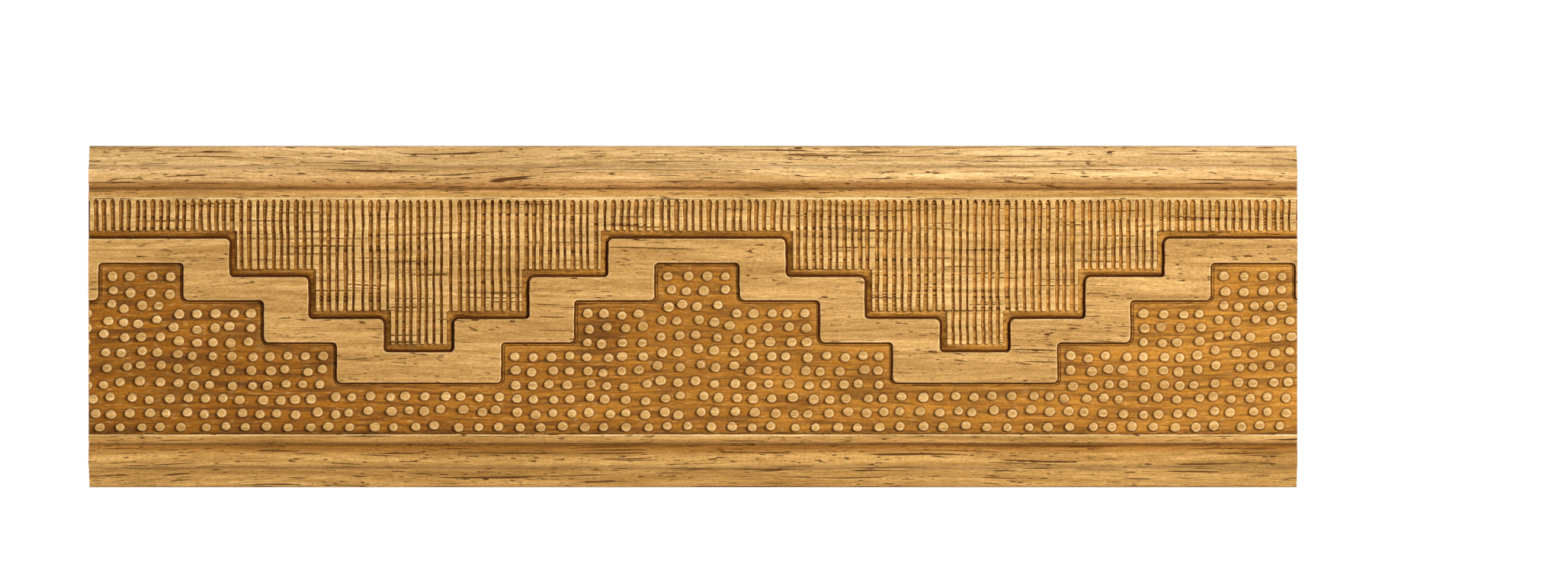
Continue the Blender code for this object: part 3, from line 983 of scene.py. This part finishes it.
def regions(tree, s):
    """Masks of where a spot lies on the strip, from its place and from the mesh's own marks."""
    at = node(tree, "ShaderNodeSeparateXYZ")
    feed(tree, at.inputs[0], node(tree, "ShaderNodeTexCoord").outputs["Object"])
    x, y, z = at.outputs
    on = SimpleNamespace()
    for name in FINISH_LAYERS:
        mark = node(tree, "ShaderNodeAttribute", attribute_name=name).outputs["Fac"]
        setattr(on, name, mark)
    from_middle = reckon(tree, "ABSOLUTE", z)
    v_place = s.height / 2 - s.v_to_edge
    to_v = gap_to(tree, from_middle, v_place)
    to_arris = gap_to(tree, from_middle, s.field_top)
    on.rim = ramped(tree, from_middle, v_place - RIM_FROM_V, v_place + RIM_PAST_V)
    on.field = ramped(tree, from_middle, s.field_top, s.field_top - FIELD_BLEND)
    on.v_line = ramped(tree, to_v, *V_LINE_EDGES)
    # Painted shade: the rim darkens towards each V groove
    on.v_soot = reckon(tree, "MULTIPLY", ramped(tree, to_v, V_SHADE_REACH, 0.0), on.rim)
    # Painted highlight: a pale line along each arris
    on.arris = ramped(tree, to_arris, *ARRIS_HIGHLIGHT_EDGES)
    on.upper_half = reckon(tree, "GREATER_THAN", z, 0.0)
    on.end = reckon(tree, "GREATER_THAN", reckon(tree, "ABSOLUTE", x), s.length / 2 - NEAR)
    on.back = reckon(tree, "GREATER_THAN", y, -NEAR)
    on.rightward = ramped(tree, x, -s.length / 2, s.length / 2)
    on.toasted = ramped(tree, on.burn, 0.0, BURN_TOASTED)
    on.scorched = ramped(tree, on.burn, BURN_TOASTED, 1.0)
    return on


def planed(tree, on, look):
    """Colours of the wood before the heat of the die: rims, chamfers, band, reeds and pegs, with
    painted shade and a painted highlight.
    """
    # The lower rim takes a darker colour than the top rim, as painted shade under light from above
    rim_wood = mixed(tree, on.upper_half, look.low_rim, look.top_rim)
    face = mixed(tree, on.field, look.chamfer, look.face)
    face = mixed(tree, on.reeded, face, look.reed)
    face = mixed(tree, reckon(tree, "MULTIPLY", on.tone, PEG_PALENESS), face, look.reed)
    face = mixed(tree, on.rim, face, rim_wood)
    # Painted shade on the rim's flanks towards each V groove
    face = mixed(tree, reckon(tree, "MULTIPLY", on.v_soot, V_SHADE_SHARE), face, look.toasted)
    # Painted highlight along the tops of the pressed walls and along the arrises
    painted = reckon(tree, "MAXIMUM", on.lit_edge, on.arris)
    return mixed(tree, reckon(tree, "MULTIPLY", painted, EDGE_HIGHLIGHT_SHARE), face, look.lit_edge)


def pressed(tree, on, grain, light_ridge, face, look):
    """The same wood toasted, smoked and scorched by the die, a dark line along the foot of each V
    groove, and its plain back and ends.
    """
    toast = mixed(tree, on.rightward, look.toasted, look.half_toasted)
    face = mixed(tree, on.toasted, face, toast)
    face = mixed(tree, light_ridge, face, look.reed)
    smoked = reckon(tree, "MULTIPLY", on.reeded, SMOKE_ON_REEDS)
    smoked = reckon(tree, "MAXIMUM", smoked, on.toasted)
    smoked = reckon(tree, "MULTIPLY", grain.smoke, smoked)
    smoked = reckon(tree, "MULTIPLY", smoked, ramped(tree, on.rightward, *SMOKE_THINNING))
    face = mixed(tree, smoked, face, look.smoke)
    face = mixed(tree, on.scorched, face, look.scorched)
    # A dark line along the foot of each V groove, in the scorched colour
    face = mixed(tree, reckon(tree, "MULTIPLY", on.v_line, V_LINE_SHARE), face, look.scorched)
    face = mixed(tree, on.back, face, look.back)
    return mixed(tree, on.end, face, look.end_grain)


def shaded(tree, on, grain, face):
    """The colours lightened and darkened along the grain, redder where they darken."""
    deepest = ramped(tree, on.rim, 0.0, 1.0, BROAD_ON_FIELD[0], BROAD_ON_RIM[0])
    palest = ramped(tree, on.rim, 0.0, 1.0, BROAD_ON_FIELD[1], BROAD_ON_RIM[1])
    shade = ramped(tree, grain.broad, *BROAD_SPREAD, deepest, palest)
    paler = ramped(tree, on.reeded, 0.0, 1.0, 1.0, REED_PALENESS)
    shade = reckon(tree, "MULTIPLY", shade, paler)
    for name, least, most in SHADES:
        part = ramped(tree, getattr(grain, name), *SHADE_SPREAD, least, most)
        shade = reckon(tree, "MULTIPLY", shade, part)
    shades = node(tree, "ShaderNodeCombineXYZ")
    for socket, power in zip(shades.inputs, SHADE_POWERS):
        feed(tree, socket, reckon(tree, "POWER", shade, power))
    return mixed(tree, 1.0, face, shades.outputs[0], "MULTIPLY")


def dark_marks(tree, on, grain):
    """Mask of the pores, the splits, the checks and the nicks across the reeds."""
    sown = reckon(tree, "MAXIMUM", reckon(tree, "MULTIPLY", on.rim, PORES_ON_RIM), grain.sown)
    dark = reckon(tree, "MULTIPLY", sown, grain.pores)
    off_reeds = ramped(tree, on.reeded, 0.0, 1.0, 1.0, PORES_ON_REEDS)
    dark = reckon(tree, "MULTIPLY", dark, off_reeds)
    splits = reckon(tree, "MULTIPLY", grain.splits, on.rim)
    nicks = reckon(tree, "MULTIPLY", grain.nicks, on.reeded)
    for marks in (splits, grain.checks, nicks):
        dark = reckon(tree, "MAXIMUM", dark, marks)
    off_pegs = ramped(tree, on.tone, PEG_LEAST_TONE, 0.0)
    return reckon(tree, "MULTIPLY", dark, reckon(tree, "MULTIPLY", off_pegs, MARK_SHARE))


def wood(s, look):
    """Pale wood, toasted where the hot die has pressed it, with pores, checks and fibres."""
    material = bpy.data.materials.new("pressed_wood")
    material.use_nodes = True
    tree = material.node_tree
    shader = tree.nodes["Principled BSDF"]
    on = regions(tree, s)
    grain = grained(tree, look)
    light_ridge = reckon(tree, "MULTIPLY", grain.ridges, on.toasted)
    light_ridge = reckon(tree, "MULTIPLY", light_ridge, RIDGE_SHARE)
    dark = dark_marks(tree, on, grain)
    face = pressed(tree, on, grain, light_ridge, planed(tree, on, look), look)
    face = mixed(tree, dark, shaded(tree, on, grain, face), look.pore)
    feed(tree, shader.inputs["Base Color"], face)
    feed(tree, shader.inputs["Roughness"], ramped(tree, grain.fine, *ROUGH_SPREAD, *ROUGHNESS))
    shader.inputs["Specular IOR Level"].default_value = SPECULAR

    height = reckon(tree, "ADD", grain.fine, reckon(tree, "MULTIPLY", dark, MARK_RISE))
    height = reckon(tree, "ADD", height, reckon(tree, "MULTIPLY", light_ridge, RIDGE_RISE))
    bump = node(tree, "ShaderNodeBump")
    bump.inputs["Distance"].default_value = look.relief
    feed(tree, bump.inputs["Height"], height)
    feed(tree, shader.inputs["Normal"], bump.outputs["Normal"])
    laid_out(tree)
    return material


def plain(name, paint, roughness):
    """A plain matt paint."""
    material = bpy.data.materials.new(name)
    material.use_nodes = True
    shader = material.node_tree.nodes["Principled BSDF"]
    shader.inputs["Base Color"].default_value = (*paint, 1.0)
    shader.inputs["Roughness"].default_value = roughness
    return material


def mesh_object(name, shape, material):
    """An object made of a finished shape in one material."""
    mesh = bpy.data.meshes.new(name)
    shape.to_mesh(mesh)
    shape.free()
    mesh.materials.append(material)
    made = bpy.data.objects.new(name, mesh)
    bpy.context.scene.collection.objects.link(made)
    return made


def aimed(thing, place, target):
    """Stands a lamp or camera at a place, turned towards a target."""
    thing.location = place
    thing.rotation_euler = (Vector(target) - Vector(place)).to_track_quat("-Z", "Y").to_euler()


def lamp(name, place, size, watts):
    """A round lamp that shines on the middle of the strip."""
    light = bpy.data.lights.new(name, "AREA")
    light.shape = "DISK"
    light.size = size
    light.energy = watts
    made = bpy.data.objects.new(name, light)
    bpy.context.scene.collection.objects.link(made)
    aimed(made, place, (0, 0, 0))


class MOULDING_OT_strip(bpy.types.Operator):
    """Makes the pressed strip in pale wood, in place of the plain solid"""

    bl_idname = "moulding.strip"
    bl_label = "Make the strip"

    def execute(self, context):
        s = worked_out(context.scene.moulding_sizes)
        shape = strip_mesh(s)
        if any(not edge.is_manifold for edge in shape.edges):
            raise RuntimeError("The strip isn't one closed surface")
        strip = mesh_object("pressed_strip", shape, wood(s, context.scene.moulding_wood))
        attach(strip, "root")
        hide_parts(STRIP_NODE)
        return {"FINISHED"}


class MOULDING_OT_stage(bpy.types.Operator):
    """Sets out the plain floor, the soft light and the camera"""

    bl_idname = "moulding.stage"
    bl_label = "Set the stage"

    def execute(self, context):
        look = context.scene.moulding_stage
        shape = bmesh.new()
        bmesh.ops.create_grid(shape, x_segments=1, y_segments=1, size=FLOOR_SIZE / 2)
        bmesh.ops.translate(shape, vec=(0, 0, -FLOOR_DROP), verts=shape.verts)
        paint = plain("floor_paint", look.floor, FLOOR_ROUGHNESS)
        mesh_object("floor", shape, paint)

        lamp("key_light", *KEY_LIGHT)
        lamp("back_light", *BACK_LIGHT)
        world = bpy.data.worlds.new("soft_white")
        world.use_nodes = True
        sky = world.node_tree
        background = sky.nodes["Background"]
        background.inputs["Color"].default_value = (1.0, 1.0, 1.0, 1.0)
        seen = node(sky, "ShaderNodeLightPath").outputs["Is Camera Ray"]
        strength = ramped(sky, seen, 0.0, 1.0, SKY_LIGHT, SKY_SEEN)
        feed(sky, background.inputs["Strength"], strength)
        laid_out(sky)
        context.scene.world = world
        context.scene.view_settings.view_transform = "Standard"

        camera = bpy.data.cameras.new("camera")
        camera.lens = camera.sensor_width * look.view_distance / look.view_width
        camera.clip_start = NEAREST_SEEN
        viewer = bpy.data.objects.new("camera", camera)
        context.scene.collection.objects.link(viewer)
        face = CAD_LOW.y
        target = (look.view_right, face, look.view_up)
        aimed(viewer, (look.view_right, face - look.view_distance, look.view_up), target)
        context.scene.camera = viewer
        return {"FINISHED"}


class MOULDING_PT_panel(bpy.types.Panel):
    """Lists the steps and their sizes and colours"""

    bl_idname = "MOULDING_PT_panel"
    bl_label = "Moulding"
    bl_space_type = "VIEW_3D"
    bl_region_type = "UI"
    bl_category = "Moulding"

    def draw(self, context):
        steps = (
            (MOULDING_OT_strip, ("moulding_sizes", "moulding_wood")),
            (MOULDING_OT_stage, ("moulding_stage",)),
        )
        for step, groups in steps:
            box = self.layout.box()
            box.operator(step.bl_idname)
            for name in groups:
                group = getattr(context.scene, name)
                for key in type(group).__annotations__:
                    box.prop(group, key)


CLASSES = (
    MouldingSizes,
    WoodLook,
    StageLook,
    MOULDING_OT_strip,
    MOULDING_OT_stage,
    MOULDING_PT_panel,
)


def register():
    """Adds the steps, their sizes and their panel."""
    for each in CLASSES:
        bpy.utils.register_class(each)
    bpy.types.Scene.moulding_sizes = PointerProperty(type=MouldingSizes)
    bpy.types.Scene.moulding_wood = PointerProperty(type=WoodLook)
    bpy.types.Scene.moulding_stage = PointerProperty(type=StageLook)


def unregister():
    """Takes them out again."""
    del bpy.types.Scene.moulding_stage
    del bpy.types.Scene.moulding_wood
    del bpy.types.Scene.moulding_sizes
    for each in reversed(CLASSES):
        bpy.utils.unregister_class(each)


def main():
    """Makes the strip and its stage."""
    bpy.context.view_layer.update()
    register()
    bpy.ops.moulding.strip()
    bpy.ops.moulding.stage()


if __name__ == "__main__":
    main()
